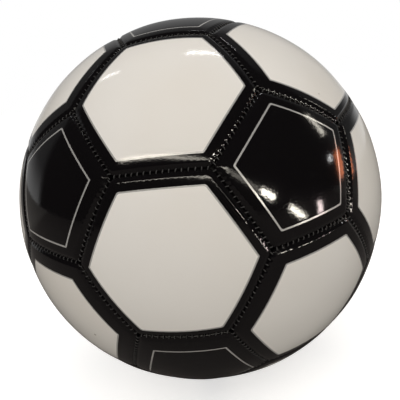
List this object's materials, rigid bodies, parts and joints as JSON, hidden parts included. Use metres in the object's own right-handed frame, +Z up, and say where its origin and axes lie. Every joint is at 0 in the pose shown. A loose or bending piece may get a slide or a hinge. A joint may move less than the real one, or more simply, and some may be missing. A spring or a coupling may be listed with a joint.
{
  "type": "soccer ball",
  "caption": "Machine-sewn ball with white hexagonal and black pentagonal glossy panels, printed borders, a sewn groove along every seam, a bladder and a needle valve.",
  "frame": {"origin": "centre of the ball", "axes": "+Y out of the valve along the needle's bore, X across the middle of a seam between two white panels, +Z up as the ball lies; the ball is alike on both sides of the YZ plane"},
  "size_m": [0.22, 0.2199, 0.22],
  "materials": {
    "white_pvc": "glossy off-white PVC leather with a fine grain and a printed black border",
    "black_pvc": "glossy black PVC leather with a fine grain and a printed silver-grey outline",
    "panel_foam": "soft closed-cell foam",
    "backing_cloth": "woven polyester and cotton",
    "seam_thread": "waxed twisted polyester",
    "bladder_rubber": "matte butyl",
    "valve_rubber": "satin butyl",
    "patch_cloth": "rubberised woven cloth"
  },
  "bodies": {
    "root": {"black_panel_01": "black_pvc", "black_panel_02": "black_pvc", "black_panel_03": "black_pvc", "black_panel_04": "black_pvc", "black_panel_05": "black_pvc", "black_panel_06": "black_pvc", "black_panel_07": "black_pvc", "black_panel_08": "black_pvc", "black_panel_09": "black_pvc", "black_panel_10": "black_pvc", "black_panel_11": "black_pvc", "black_panel_12": "black_pvc", "bladder": "bladder_rubber", "hexagon_cloth_backings": "backing_cloth", "hexagon_foam_layers": "panel_foam", "pentagon_cloth_backings": "backing_cloth", "pentagon_foam_layers": "panel_foam", "seam_thread_white_to_black": "seam_thread", "seam_thread_white_to_white": "seam_thread", "valve_housing": "valve_rubber", "valve_insert": "valve_rubber", "valve_patch": "patch_cloth", "white_panel_01_valve": "white_pvc", "white_panel_02": "white_pvc", "white_panel_03": "white_pvc", "white_panel_04": "white_pvc", "white_panel_05": "white_pvc", "white_panel_06": "white_pvc", "white_panel_07": "white_pvc", "white_panel_08": "white_pvc", "white_panel_09": "white_pvc", "white_panel_10": "white_pvc", "white_panel_11": "white_pvc", "white_panel_12": "white_pvc", "white_panel_13": "white_pvc", "white_panel_14": "white_pvc", "white_panel_15": "white_pvc", "white_panel_16": "white_pvc", "white_panel_17": "white_pvc", "white_panel_18": "white_pvc", "white_panel_19": "white_pvc", "white_panel_20": "white_pvc"}
  },
  "joints": []
}
